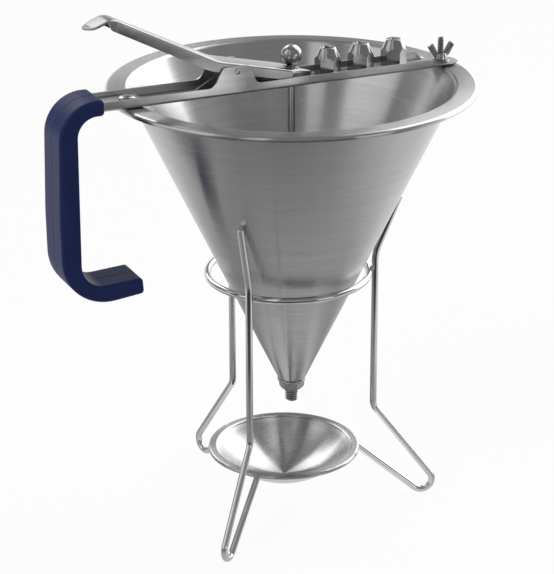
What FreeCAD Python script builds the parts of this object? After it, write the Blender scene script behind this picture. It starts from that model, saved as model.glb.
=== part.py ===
import FreeCAD, Part

import math
import os

Vector = FreeCAD.Vector

# Frame of the model: millimetres, +Z up. The funnel's axis is the Z axis and the table is at zero,
# the bridge lies along X with the handle at -X.
# Everything that the funnel carries is placed from the rim's top face, and across from the rim's edge.

# Funnel
mouth_radius = 94.0            # outside of the cone where it meets the rim flange
mouth_height = 262.8           # top face of the rim flange
half_angle = math.radians(25.4)
tip_radius = 7.3               # outside of the cone where it meets the collar
funnel_wall = 1.2
rim_width = 11.0               # flange and lip, out from the cone
rim_radius = mouth_radius + rim_width
rim_drop = 2.6                 # from the flange's top face to the lip's lower edge
mouth_bend = 2.4               # bend radii are on the middle of the sheet
lip_bend = 1.3

# Outlet at the funnel's tip
collar_top = mouth_height - (mouth_radius - tip_radius) / math.tan(half_angle)
collar_height = 5.5
collar_bottom = collar_top - collar_height
collar_flats = 13.0            # across the flats of the hexagon
collar_chamfer = 1.9
spout_length = 7.4
spout_bottom = collar_bottom - spout_length
thread_radius = 4.0            # M8 outside thread, the same on the storage posts
outlet_radius = 2.95
seat_top_radius = 6.2
seat_depth = 3.6
seat_gap = 0.3                 # left between the valve plug and its seat

# Piston
rod_radius = 2.1
running_gap = 0.08             # radial play of a shaft in its hole
plug_height = 2.6              # straight band above the plug's cone
plug_shoulder = 4.0            # taper from the band to the rod
plug_socket = 3.5              # depth of the rod's end inside the plug
knob_radius = 5.9
knob_rise = 15.9               # centre of the ball above the rim
knob_height = mouth_height + knob_rise
neck_radius = 2.9
knob_socket = 1.6              # the rod ends this much below the ball's centre

# Bridge: a channel of sheet, open upward, that lies across the rim
sheet = 1.0
bridge_width = 21.0
bridge_overhang = 16.0         # beyond the rim at the handle
bridge_left = -rim_radius - bridge_overhang
stud_inset = 9.2               # from the rim's edge to the clamp's stud
stud_x = rim_radius - stud_inset
clamp_room = 7.8               # from the stud back to the end of the side walls
bridge_right = stud_x - clamp_room
bridge_ramp = 4.0              # length over which the side walls run out before the clamp
bend_inside = 1.0
tab_overhang = 0.6             # beyond the rim at the clamp
tab_end = rim_radius + tab_overhang
tab_width = 18.0
floor_bottom = mouth_height
floor_top = floor_bottom + sheet
side_rise = 5.4                # side walls above the rim
flange_top = mouth_height + side_rise

# Ears that carry the lever, and their pin
ear_base_left = -51.6
ear_top_left = -46.4
ear_top_right = -30.2
ear_base_right = -26.0
ear_rise = 16.2
ear_top = mouth_height + ear_rise
ear_base_round = 6.0
ear_top_round = 3.0
pin_x = -37.6
pin_rise = 13.4
pin_z = mouth_height + pin_rise
pin_radius = 1.3
pin_head_radius = 1.8
pin_head = 0.5

# Lever: sheet folded to an upside-down channel, with a thumb rest and a pointed nose.
# Its heights are counted from the rim's top face.
lever_side_gap = 0.25
lever_width = bridge_width - 2 * sheet - 2 * lever_side_gap
lever_nose_x = 11.4
lever_nose_top = 5.5
lever_nose_low = 2.8
lever_nose_width = 2.4
lever_shoulder_x = -4.0
lever_shoulder_top = 9.7
lever_heel_x = -1.5            # where the low edge levels out inside the bridge
lever_heel_low = 3.1
lever_bend_top = (-47.9, 19.6)
lever_bend_low = (-53.6, 15.1)
lever_bend_round = 25.0
lever_arm_top = (-104.5, 48.5)
lever_end_top = (-110.8, 46.8)
lever_end_low = (-109.4, 43.6)
lever_end_round = 2.2
lever_neck_x = -106.0
lever_neck_width = 13.6
lever_taper_x = -62.0
slot_width = 5.0
slot_left = -5.2
slot_right = 3.8
lever_travel = math.radians(20.0)

# Thumb rest, the tongue beyond the lever's arm
thumb_crest = (-109.0, 50.2)
thumb_dip = (-119.6, 45.9)
thumb_tip = (-123.4, 45.3)
thumb_flare = 12.0             # rounding where the tongue widens out of the arm
thumb_crest_round = 9.0
thumb_dip_round = 9.0
thumb_width = 16.0

# Return spring round the pin
spring_wire = 0.4              # radius of the wire
spring_play = 0.15
spring_turns = 4
spring_pitch = 1.25
spring_floor_slope = math.radians(29.0)
spring_arm_slope = math.radians(30.5)

# Handle, drawn from the rim's edge and the rim's top face
grip_width = 27.0
grip_round = 2.0
grip_outline = [
    # corner of the outline in x and z, and its rounding
    (-12.0, 7.7, 1.6),
    (-37.7, 7.7, 22.0),
    (-39.7, -57.8, 220.0),
    (-39.3, -111.6, 27.5),
    (8.1, -106.8, 2.0),
    (7.4, -97.6, 2.0),
    (-28.2, -99.5, 13.5),
    (-27.4, -1.2, 11.4),
    (-12.0, -1.2, 1.6),
]
core_thickness = 2.0
core_width = 15.0
core_start = 13.0
core_down = -33.6
core_low = -103.4
core_end = 3.0
core_end_rise = 1.6
core_top_bend = 17.0
core_low_bend = 21.0
rivet_inset = 5.6              # from the rim's edge
rivet_x = rivet_inset - rim_radius
rivet_radius = 2.4
rivet_head_radius = 4.8
rivet_head = 1.9
rivet_foot_radius = 3.2
rivet_foot = 1.0

# Clamp at the other end of the bridge
stud_radius = 2.0
stud_length = 15.0
stud_top = mouth_height + stud_length
stud_point = 0.5
stud_hole_gap = 0.3
washer_radius = 5.0
washer_thickness = 0.9
washer_gap = 0.15
nut_base_radius = 4.0
nut_top_radius = 3.1
nut_height = 3.8
nut_lift = 0.05
wing_thickness = 2.0
wing_outline = [(2.0, 0.9), (5.3, 2.5), (8.6, 8.1), (5.8, 10.5), (2.0, 4.6)]

# Spare nozzles and the posts that hold them
nozzle_places = [22.7, 43.7, 65.0]
nozzle_names = ["wide", "medium", "fine"]
nozzle_holes = [2.5, 2.0, 1.5]
nozzle_flats = 13.0
nozzle_rise = 17.7
nozzle_top = mouth_height + nozzle_rise
nozzle_shoulder_rise = 10.4
nozzle_shoulder = mouth_height + nozzle_shoulder_rise
nozzle_chamfer = 0.6
nozzle_top_radius = 4.3
nozzle_bore_depth = 7.6
nozzle_bore_gap = 0.1
nozzle_lift = 0.05
post_height = 6.0
post_chamfer = 0.6

# Stand of bent wire
wire = 2.0                     # radius of the wire
leg_angles = {"front": -138.5, "right": -18.0, "left": 103.0}
leg_radius = 52.7              # middle of the wire where the leg is upright
ring_inset = 5.7               # middle of the ring's wire inside that of the legs
ring_clearance = 5.23          # between the ring and the cone that stands in it
ring_radius = leg_radius - ring_inset
ring_cone_radius = ring_radius - wire - ring_clearance
ring_height = mouth_height - (mouth_radius - ring_cone_radius) / math.tan(half_angle)
leg_bend_rise = 9.2            # from the ring up to the bend where the legs lean out
leg_top_bend = ring_height + leg_bend_rise
leg_low_bend = 60.1
front_tip_rise = 38.2          # tips above the upper bend
right_tip_rise = 35.2
left_tip_rise = 37.2
leg_tip_rises = {"front": front_tip_rise, "right": right_tip_rise, "left": left_tip_rise}
leg_top_round = 25.0
leg_low_round = 9.0
foot_radius = 83.1             # centre of the hairpin at the foot
hairpin = 6.5
weld_radius = 1.5
tip_gap = 0.3                  # left between the leg tips and the cone
# The funnel and the bowl stand loosely, a few millimetres off the stand's own axis
stand_shift = (-3.1, 1.4)
ring_shift = (-2.0, 0.9)
bowl_shift = (-4.3, 2.0)

# Drip bowl, its flange welded on the inner ends of the legs
bowl_rim = 45.2
bowl_top = 37.9
bowl_bottom = 16.9
bowl_wall = 0.9
bowl_curve = 50.7              # radius of the cap, on the middle of the sheet
bowl_slope = math.radians(52.0)    # slope of the wall below the flange
bowl_mouth_bend = 1.6
bowl_lip_bend = 0.9
bowl_lip = 1.9
strand_inset = 4.6             # a leg's inner strand meets the flange this far in
strand_drop = 1.7
leg_end = (bowl_rim - strand_inset, bowl_top - strand_drop)


def upright(u, v):
    """Put a flat point into the XZ plane."""
    return Vector(u, 0, v)


def along(a, b):
    """Unit step from one flat point to another."""
    length = math.hypot(b[0] - a[0], b[1] - a[1])
    return (b[0] - a[0]) / length, (b[1] - a[1]) / length


def rounded_corner(before, corner, after, radius):
    """Tangent points, middle point and centre of a rounded corner, and the side it turns to."""
    d1 = along(before, corner)
    d2 = along(corner, after)
    cross = d1[0] * d2[1] - d1[1] * d2[0]
    turn = math.atan2(abs(cross), d1[0] * d2[0] + d1[1] * d2[1])
    side = 1.0 if cross > 0 else -1.0
    reach = radius * math.tan(turn / 2)
    start = (corner[0] - d1[0] * reach, corner[1] - d1[1] * reach)
    end = (corner[0] + d2[0] * reach, corner[1] + d2[1] * reach)
    centre = (start[0] - d1[1] * side * radius, start[1] + d1[0] * side * radius)
    out = along(centre, corner)
    middle = (centre[0] + out[0] * radius, centre[1] + out[1] * radius)
    return start, middle, end, centre, side


def line_edge(a, b, place):
    """Straight edge between two flat points, or nothing where they coincide."""
    if math.hypot(b[0] - a[0], b[1] - a[1]) < 1e-6:
        return []
    return [Part.LineSegment(place(*a), place(*b)).toShape()]


def arc_edge(a, m, b, place):
    """Circular edge through three flat points."""
    return [Part.Arc(place(*a), place(*m), place(*b)).toShape()]


def path_edges(points, radii, place=upright, shift=0.0):
    """Open path with rounded corners, shifted to its left by the given distance."""
    first = along(points[0], points[1])
    last = along(points[-2], points[-1])
    here = (points[0][0] - first[1] * shift, points[0][1] + first[0] * shift)
    edges = []
    for index, radius in enumerate(radii, start=1):
        start, middle, end, centre, side = rounded_corner(
            points[index - 1], points[index], points[index + 1], radius
        )
        scale = (radius - side * shift) / radius
        start, middle, end = [
            (centre[0] + (p[0] - centre[0]) * scale, centre[1] + (p[1] - centre[1]) * scale)
            for p in (start, middle, end)
        ]
        edges += line_edge(here, start, place)
        edges += arc_edge(start, middle, end, place)
        here = end
    finish = (points[-1][0] - last[1] * shift, points[-1][1] + last[0] * shift)
    edges += line_edge(here, finish, place)
    return edges, (points[0][0] - first[1] * shift, points[0][1] + first[0] * shift), finish


def face_of(edges):
    """Flat face inside a closed set of edges."""
    return Part.Face(Part.Wire(Part.__sortEdges__(edges)))


def sheet_face(points, radii, low, high, place=upright):
    """Cross-section of a bent sheet whose two faces lie low and high to the left of the path."""
    one, one_start, one_end = path_edges(points, radii, place, low)
    two, two_start, two_end = path_edges(points, radii, place, high)
    caps = line_edge(one_start, two_start, place) + line_edge(one_end, two_end, place)
    return face_of(one + two + caps)


def outline_face(corners, place=upright):
    """Face of a closed outline of (u, v, rounding) corners."""
    edges = []
    ends = []
    count = len(corners)
    for index, (u, v, radius) in enumerate(corners):
        before = corners[index - 1][:2]
        after = corners[(index + 1) % count][:2]
        if radius > 0:
            start, middle, end, _, _ = rounded_corner(before, (u, v), after, radius)
            edges += arc_edge(start, middle, end, place)
        else:
            start = end = (u, v)
        ends.append((start, end))
    for index in range(count):
        edges += line_edge(ends[index][1], ends[(index + 1) % count][0], place)
    return face_of(edges)


def revolve(face):
    """Turn an XZ face once round the Z axis."""
    return face.revolve(Vector(0, 0, 0), Vector(0, 0, 1), 360)


def across(face, width):
    """Extrude an XZ face to both sides of the middle plane."""
    moved = face.copy()
    moved.translate(Vector(0, -width / 2, 0))
    return moved.extrude(Vector(0, width, 0))


def cylinder(radius, bottom, top, x=0.0, y=0.0):
    """Upright cylinder between two heights."""
    return Part.makeCylinder(radius, top - bottom, Vector(x, y, bottom))


def turned(profile, x=0.0):
    """Solid turned from a closed profile of (radius, height) points, on an upright axis at x."""
    points = [upright(r, z) for r, z in profile]
    solid = revolve(Part.Face(Part.makePolygon(points + points[:1])))
    solid.translate(Vector(x, 0, 0))
    return solid


def hexagon(flats, bottom, top, x=0.0):
    """Upright hexagonal prism with two flats facing along the bridge."""
    corner_radius = flats / math.sqrt(3)
    corners = []
    for step in range(6):
        angle = math.radians(60 * step + 30)
        corners.append(
            Vector(x + corner_radius * math.cos(angle), corner_radius * math.sin(angle), bottom)
        )
    return Part.Face(Part.makePolygon(corners + corners[:1])).extrude(Vector(0, 0, top - bottom))


def cone_outside(z):
    """Radius of the cone's outer face at a height."""
    return mouth_radius - (mouth_height - z) * math.tan(half_angle)


def funnel_cone():
    """Spun cone with a flat rim flange and a small lip turned down."""
    inset = funnel_wall / 2 / math.cos(half_angle)
    start_z = collar_top - funnel_wall * 2
    flange_z = mouth_height - funnel_wall / 2
    lip_r = rim_radius - funnel_wall / 2
    points = [
        (cone_outside(start_z) - inset, start_z),
        (cone_outside(flange_z) - inset, flange_z),
        (lip_r, flange_z),
        (lip_r, mouth_height - rim_drop),
    ]
    cone = revolve(sheet_face(
        points, [mouth_bend, lip_bend], -funnel_wall / 2, funnel_wall / 2
    ))
    return cone.cut(cylinder(mouth_radius, start_z - funnel_wall * 2, collar_top))


def outlet_collar():
    """Hexagonal collar with the threaded spout below it and the valve seat inside."""
    corner = collar_flats / math.sqrt(3)
    body = hexagon(collar_flats, collar_bottom, collar_top)
    envelope = turned([
        (0, collar_bottom),
        (collar_flats / 2 - collar_chamfer / 2, collar_bottom),
        (corner + 0.1, collar_bottom + collar_chamfer),
        (corner + 0.1, collar_top),
        (0, collar_top),
    ])
    body = body.common(envelope).fuse(cylinder(thread_radius, spout_bottom, collar_bottom + 1))
    bore = turned([
        (0, spout_bottom - 1),
        (outlet_radius, spout_bottom - 1),
        (outlet_radius, collar_top - seat_depth),
        (seat_top_radius, collar_top),
        (seat_top_radius, collar_top + 1),
        (0, collar_top + 1),
    ])
    return body.cut(bore)


def valve_plug():
    """Cone that closes the outlet, on the end of the piston rod."""
    slope = (seat_top_radius - outlet_radius) / seat_depth
    foot_z = collar_top - seat_depth + seat_gap * math.hypot(1, slope) / slope
    foot_r = outlet_radius
    band_r = foot_r + (collar_top - foot_z) * slope
    profile = [
        (0, foot_z),
        (foot_r, foot_z),
        (band_r, collar_top),
        (band_r, collar_top + plug_height),
        (rod_radius + 0.6, collar_top + plug_height + plug_shoulder),
        (0, collar_top + plug_height + plug_shoulder),
    ]
    return turned(profile).cut(piston_rod())


def piston_rod():
    """Straight rod from the valve plug up to the ball."""
    bottom = collar_top + plug_height + plug_shoulder - plug_socket
    return cylinder(rod_radius, bottom, knob_height - knob_socket)


def lever_top_z(x):
    """Height of the lever's top face between its shoulder and its bend."""
    run = (x - lever_shoulder_x) / (lever_bend_top[0] - lever_shoulder_x)
    return mouth_height + lever_shoulder_top + run * (lever_bend_top[1] - lever_shoulder_top)


def ball_knob():
    """Ball on top of the rod, with a short neck that the lever lifts."""
    neck_bottom = lever_top_z(-neck_radius) + tip_gap
    ball = Part.makeSphere(knob_radius, Vector(0, 0, knob_height))
    neck = cylinder(neck_radius, neck_bottom, knob_height)
    return ball.fuse(neck).removeSplitter().cut(piston_rod())


def bridge_channel():
    """U-shaped bridge with the two ears, the clamp tab and its holes."""
    outline = [
        (bridge_left, floor_bottom, 0),
        (bridge_right, floor_bottom, 0),
        (bridge_right, floor_top, 0),
        (bridge_right - bridge_ramp, flange_top, bridge_ramp / 2),
        (ear_base_right, flange_top, ear_base_round / 2),
        (ear_top_right, ear_top, ear_top_round),
        (ear_top_left, ear_top, ear_top_round),
        (ear_base_left, flange_top, ear_base_round),
        (bridge_left, flange_top, 0),
    ]
    block = across(outline_face(outline), bridge_width)
    corners = [
        edge for edge in block.Edges
        if abs(edge.BoundBox.ZMax - floor_bottom) < 1e-4 and edge.BoundBox.XLength > 1
    ]
    block = block.makeFillet(bend_inside + sheet, corners)
    inside = Part.makeBox(
        bridge_right - bridge_left + 2, bridge_width - 2 * sheet, ear_top - floor_top + 1,
        Vector(bridge_left - 1, -bridge_width / 2 + sheet, floor_top),
    )
    inner_corners = [
        edge for edge in inside.Edges
        if abs(edge.BoundBox.ZMax - floor_top) < 1e-4 and edge.BoundBox.XLength > 1
    ]
    channel = block.cut(inside.makeFillet(bend_inside, inner_corners))
    tab = outline_face([
        (bridge_right - 2, -tab_width / 2, 0),
        (tab_end, -tab_width / 2, tab_width / 2 - 0.5),
        (tab_end, tab_width / 2, tab_width / 2 - 0.5),
        (bridge_right - 2, tab_width / 2, 0),
    ], lambda u, v: Vector(u, v, floor_bottom)).extrude(Vector(0, 0, sheet))
    channel = channel.fuse(tab).removeSplitter()
    holes = [
        cylinder(rod_radius + running_gap, floor_bottom - 1, floor_top + 1),
        cylinder(rivet_radius, floor_bottom - 1, floor_top + 1, rivet_x),
        cylinder(stud_radius + stud_hole_gap, floor_bottom - 1, floor_top + 1, stud_x),
        pin_bar(pin_radius, bridge_width + 2),
    ]
    for hole in holes:
        channel = channel.cut(hole)
    return channel


def pin_bar(radius, length):
    """Round bar along the lever's axis."""
    return Part.makeCylinder(radius, length, Vector(pin_x, -length / 2, pin_z), Vector(0, 1, 0))


def pivot_pin():
    """Pin through both ears, its ends peened over."""
    shank = pin_bar(pin_radius, bridge_width)
    heads = []
    for side in (-1, 1):
        start = Vector(pin_x, side * bridge_width / 2, pin_z)
        heads.append(Part.makeCone(
            pin_head_radius, pin_radius, pin_head, start, Vector(0, side, 0)
        ))
    return shank.fuse(heads).removeSplitter()


def plan_solid(corners):
    """Upright block over an outline in plan, tall enough to hold the lever."""
    face = outline_face(corners, lambda u, v: Vector(u, v, -sheet))
    return face.extrude(Vector(0, 0, thumb_crest[1] + 3 * sheet))


def lever_plan(inset):
    """Plan of the folded part of the lever, drawn in by a distance."""
    half = lever_width / 2 - inset
    neck = lever_neck_width / 2 - inset
    nose = max(lever_nose_width / 2 - inset, 0.2)
    nose_x = lever_nose_x - inset * 3
    left = lever_end_low[0] - 5
    return [
        (nose_x, -nose, 0),
        (nose_x, nose, 0),
        (lever_shoulder_x, half, 3),
        (lever_taper_x, half, 40),
        (lever_neck_x, neck, 20),
        (left, neck, 0),
        (left, -neck, 0),
        (lever_neck_x, -neck, 20),
        (lever_taper_x, -half, 40),
        (lever_shoulder_x, -half, 3),
    ]


def lever_side(drop, overshoot):
    """Side outline of the fold: the top face lowered by drop, the low edge by overshoot."""
    return [
        (lever_nose_x, lever_nose_low - overshoot, 0),
        (lever_nose_x, lever_nose_top - drop, 0),
        (lever_shoulder_x, lever_shoulder_top - drop, 20),
        (lever_bend_top[0], lever_bend_top[1] - drop, lever_bend_round),
        (lever_arm_top[0], lever_arm_top[1] - drop, 0),
        (lever_end_top[0], lever_end_top[1] - drop / 2, 0),
        (lever_end_low[0], lever_end_low[1] - overshoot, lever_end_round if drop == 0 else 0),
        (lever_bend_low[0], lever_bend_low[1] - overshoot, lever_bend_round),
        (lever_heel_x, lever_heel_low - overshoot, 6),
    ]


def trigger_lever():
    """Lever: the folded arm with its thumb rest, the rod's slot and the pin holes."""
    shell = across(outline_face(lever_side(0, 0)), lever_width + 2)
    shell = shell.common(plan_solid(lever_plan(0)))
    hollow = across(outline_face(lever_side(sheet, 8)), lever_width)
    hollow = hollow.common(plan_solid(lever_plan(sheet)))
    arm = shell.cut(hollow)
    back = along(lever_arm_top, lever_bend_top)
    start = (lever_arm_top[0] + 6 * back[0], lever_arm_top[1] + 6 * back[1])
    tongue = across(
        sheet_face(
            [start, thumb_crest, thumb_dip, thumb_tip],
            [thumb_crest_round, thumb_dip_round],
            0, sheet,
        ),
        thumb_width,
    )
    half = thumb_width / 2
    plan = plan_solid([
        (start[0] + 2, -lever_neck_width / 2, 0),
        (thumb_crest[0] - 1, -half, thumb_flare),
        (thumb_tip[0], -half, half - 1),
        (thumb_tip[0], half, half - 1),
        (thumb_crest[0] - 1, half, thumb_flare),
        (start[0] + 2, lever_neck_width / 2, 0),
    ])
    lever = moved(arm.fuse(tongue.common(plan)).removeSplitter(), 0, 0, mouth_height)
    slot = outline_face([
        (slot_left, -slot_width / 2, slot_width / 2 - 0.1),
        (slot_right, -slot_width / 2, slot_width / 2 - 0.1),
        (slot_right, slot_width / 2, slot_width / 2 - 0.1),
        (slot_left, slot_width / 2, slot_width / 2 - 0.1),
    ], lambda u, v: Vector(u, v, floor_bottom)).extrude(Vector(0, 0, knob_height - floor_bottom))
    return lever.cut(slot).cut(pin_bar(pin_radius + running_gap, bridge_width))


def return_spring():
    """Torsion spring: one leg on the bridge floor, four turns round the pin, one leg up the arm."""
    coil = pin_radius + spring_play + spring_wire
    first_y = -spring_turns * spring_pitch / 2

    def place(u, v, y):
        return Vector(pin_x + u, y, pin_z + v)

    def on_coil(travel):
        """Point of the coil where the wire runs at this angle, turning clockwise."""
        return -coil * math.sin(travel), coil * math.cos(travel)

    down = -math.pi / 2
    start = on_coil(spring_floor_slope)
    fall = pin_z + start[1] - floor_top - spring_wire - 0.1
    run = fall / math.tan(spring_floor_slope)
    foot = (start[0] - run, start[1] - fall)
    edges = [Part.LineSegment(place(*foot, first_y), place(*start, first_y)).toShape()]
    middle = on_coil((spring_floor_slope + down) / 2)
    edges.append(Part.Arc(
        place(*start, first_y), place(*middle, first_y), place(coil, 0, first_y)
    ).toShape())
    side = 1
    y = first_y
    for _ in range(2 * spring_turns):
        step = spring_pitch / 2
        edges.append(Part.Arc(
            place(side * coil, 0, y),
            place(0, -side * coil, y + step / 2),
            place(-side * coil, 0, y + step),
        ).toShape())
        side = -side
        y += step
    leave = -math.pi - spring_arm_slope
    end = on_coil(leave)
    middle = on_coil((down + leave) / 2)
    edges.append(Part.Arc(place(coil, 0, y), place(*middle, y), place(*end, y)).toShape())
    length = 0.86 * run
    tip = (end[0] + length * math.cos(leave), end[1] + length * math.sin(leave))
    edges.append(Part.LineSegment(place(*end, y), place(*tip, y)).toShape())
    path = Part.Wire(edges)
    heading = place(*start, first_y) - place(*foot, first_y)
    section = Part.Wire(Part.makeCircle(spring_wire, place(*foot, first_y), heading))
    return path.makePipeShell([section], True, False)


def core_bar():
    """Flat bar of the handle, bent from the bridge down through the grip."""
    bar_z = sheet + core_thickness / 2
    points = [
        (core_start, bar_z),
        (core_down, bar_z),
        (core_down, core_low),
        (core_end, core_low + core_end_rise),
    ]
    bar = across(sheet_face(
        points, [core_top_bend, core_low_bend], -core_thickness / 2, core_thickness / 2
    ), core_width)
    return moved(bar, -rim_radius, 0, mouth_height)


def handle_core():
    """The bar with its rivet hole."""
    hole = cylinder(rivet_radius, floor_bottom, floor_top + core_thickness + 1, rivet_x)
    return core_bar().cut(hole)


def handle_grip():
    """Moulded grip round the bar and the end of the bridge."""
    block = across(outline_face(grip_outline), grip_width)
    edges = []
    for edge in block.Edges:
        box = edge.BoundBox
        if box.YLength < 1e-4 and abs(abs(box.YMax) - grip_width / 2) < 1e-4:
            edges.append(edge)
    grip = moved(block.makeFillet(grip_round, edges), -rim_radius, 0, mouth_height)
    return grip.cut(core_bar()).cut(bridge_channel())


def handle_rivet():
    """Rivet that holds the handle's bar and the bridge on the rim flange."""
    top = floor_top + core_thickness
    bottom = mouth_height - funnel_wall
    return turned([
        (0, bottom - rivet_foot),
        (rivet_foot_radius - 0.5, bottom - rivet_foot),
        (rivet_foot_radius, bottom - rivet_foot / 2),
        (rivet_foot_radius, bottom),
        (rivet_radius, bottom),
        (rivet_radius, top),
        (rivet_head_radius, top),
        (rivet_head_radius, top + rivet_head * 0.35),
        (rivet_head_radius * 0.8, top + rivet_head * 0.8),
        (rivet_head_radius * 0.4, top + rivet_head),
        (0, top + rivet_head),
    ], rivet_x)


def clamp_stud():
    """Threaded stud welded to the rim flange, through the bridge's tab."""
    return turned([
        (0, mouth_height),
        (stud_radius, mouth_height),
        (stud_radius, stud_top - stud_point),
        (stud_radius - stud_point, stud_top),
        (0, stud_top),
    ], stud_x)


def clamp_washer():
    """Plain washer under the wing nut."""
    ring = cylinder(washer_radius, floor_top, floor_top + washer_thickness, stud_x)
    return ring.cut(cylinder(stud_radius + washer_gap, floor_bottom, stud_top, stud_x))


def wing_nut():
    """Hub with two blades, turning on the stud."""
    base = floor_top + washer_thickness + nut_lift
    hub = Part.makeCone(nut_base_radius, nut_top_radius, nut_height, Vector(stud_x, 0, base))
    blades = []
    for side in (-1, 1):
        points = [upright(stud_x + side * u, base + v) for u, v in wing_outline]
        blades.append(across(Part.Face(Part.makePolygon(points + points[:1])), wing_thickness))
    nut = hub.fuse(blades).removeSplitter()
    return nut.cut(cylinder(stud_radius + running_gap, floor_bottom, stud_top + nut_height, stud_x))


def nozzle_post(x):
    """Short stud on the bridge floor that a spare nozzle screws on to."""
    return turned([
        (0, floor_top),
        (thread_radius, floor_top),
        (thread_radius, floor_top + post_height - post_chamfer),
        (thread_radius - post_chamfer, floor_top + post_height),
        (0, floor_top + post_height),
    ], x)


def nozzle(x, hole):
    """Hexagonal nozzle with a turned cone on top, bored from below."""
    bottom = floor_top + nozzle_lift
    corner = nozzle_flats / math.sqrt(3) + 0.1
    envelope = turned([
        (0, bottom),
        (nozzle_flats / 2, bottom),
        (corner, bottom + nozzle_chamfer),
        (corner, nozzle_shoulder),
        (nozzle_top_radius, nozzle_top),
        (0, nozzle_top),
    ], x)
    bore_r = thread_radius + nozzle_bore_gap
    bore = turned([
        (0, bottom - 1),
        (bore_r, bottom - 1),
        (bore_r, bottom + nozzle_bore_depth),
        (hole, bottom + nozzle_bore_depth + bore_r - hole),
        (hole, nozzle_top - 0.8),
        (hole + 0.5, nozzle_top + 0.1),
        (0, nozzle_top + 0.1),
    ], x)
    return hexagon(nozzle_flats, bottom, nozzle_top, x).common(envelope).cut(bore)


def leg_lean(name):
    """Lean of a leg's upper end that brings its tip against the cone, found by halving."""
    angle = math.radians(leg_angles[name])
    height = leg_top_bend + leg_tip_rises[name]

    def space(lean):
        tip_r = leg_radius + (height - leg_top_bend) * math.tan(lean)
        tip_x = stand_shift[0] + tip_r * math.cos(angle)
        tip_y = stand_shift[1] + tip_r * math.sin(angle)
        edge_r = math.hypot(tip_x, tip_y) - wire * math.cos(lean)
        edge_z = height + wire * math.sin(lean)
        return edge_r - cone_outside(edge_z) - tip_gap / math.cos(half_angle)

    low, high = 0.0, math.radians(40)
    for _ in range(50):
        middle = (low + high) / 2
        if space(middle) > 0:
            high = middle
        else:
            low = middle
    return (low + high) / 2


def touch_point(outside, centre, radius, side):
    """Point where a line from outside a circle touches it, on the chosen side."""
    away = math.hypot(centre[0] - outside[0], centre[1] - outside[1])
    heading = math.atan2(centre[1] - outside[1], centre[0] - outside[0])
    heading += side * math.asin(radius / away)
    reach = math.sqrt(away ** 2 - radius ** 2)
    return outside[0] + reach * math.cos(heading), outside[1] + reach * math.sin(heading)


def leg(name):
    """One leg: a wire from the cone, down, out to a hairpin foot and back under the bowl."""
    height = leg_top_bend + leg_tip_rises[name]
    tip = (leg_radius + (height - leg_top_bend) * math.tan(leg_lean(name)), height)
    low_bend = (leg_radius, leg_low_bend)
    centre = (foot_radius, hairpin + wire)
    end = leg_end
    outer = touch_point(low_bend, centre, hairpin, 1)
    inner = touch_point(end, centre, hairpin, -1)
    coming = along(low_bend, outer)
    going = along(end, inner)
    far_way = along((0, 0), (coming[0] + going[0], coming[1] + going[1]))
    far = (centre[0] + far_way[0] * hairpin, centre[1] + far_way[1] * hairpin)
    edges, _, _ = path_edges(
        [tip, (leg_radius, leg_top_bend), low_bend, outer], [leg_top_round, leg_low_round]
    )
    edges += arc_edge(outer, far, inner, upright)
    edges += line_edge(inner, end, upright)
    heading = upright(leg_radius, leg_top_bend) - upright(*tip)
    section = Part.Wire(Part.makeCircle(wire, upright(*tip), heading))
    rod = Part.Wire(edges).makePipeShell([section], True, False)
    rod.rotate(Vector(0, 0, 0), Vector(0, 0, 1), leg_angles[name])
    return largest(moved(rod, *stand_shift).cut(drip_bowl()))


def support_ring(legs):
    """Ring inside the legs, with the three short welds that join it to them."""
    middle = Vector(ring_shift[0], ring_shift[1], ring_height)
    ring = Part.makeTorus(ring_radius, wire, middle)
    for angle in leg_angles.values():
        beside = Vector(
            stand_shift[0] + leg_radius * math.cos(math.radians(angle)),
            stand_shift[1] + leg_radius * math.sin(math.radians(angle)),
            ring_height,
        )
        out = beside - middle
        reach = out.Length - ring_radius
        out.normalize()
        weld = Part.makeCylinder(weld_radius, reach, middle + out * ring_radius, out)
        ring = ring.fuse(weld)
    for wire_leg in legs:
        ring = ring.cut(wire_leg)
    return ring


def drip_bowl():
    """Round bowl, a cap of a sphere with a flat flange and a small lip turned down."""
    floor_z = bowl_bottom + bowl_wall / 2
    flange_z = bowl_top - bowl_wall / 2
    lip_r = bowl_rim - bowl_wall / 2
    low_r = bowl_curve * math.tan(bowl_slope / 2)
    points = [
        (0, floor_z),
        (low_r, floor_z),
        (low_r + (flange_z - floor_z) / math.tan(bowl_slope), flange_z),
        (lip_r, flange_z),
        (lip_r, bowl_top - bowl_lip),
    ]
    half = bowl_wall / 2
    section = sheet_face(points, [bowl_curve, bowl_mouth_bend, bowl_lip_bend], -half, half)
    return moved(revolve(section), *bowl_shift)


def largest(shape):
    """The largest solid of a shape."""
    return max(shape.Solids, key=lambda solid: solid.Volume)


def moved(shape, x, y, z=0.0):
    """The shape carried by a shift."""
    copy = shape.copy()
    copy.translate(Vector(x, y, z))
    return copy


def save(node, shape):
    """Write one node as a STEP file and report its size."""
    if shape.ShapeType == "Compound" and len(shape.Solids) == 1:
        shape = shape.Solids[0]
    shape.exportStep("parts/" + node + ".step")
    print(node, "solids", len(shape.Solids), "volume", round(shape.Volume, 1), shape.isValid())


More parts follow.
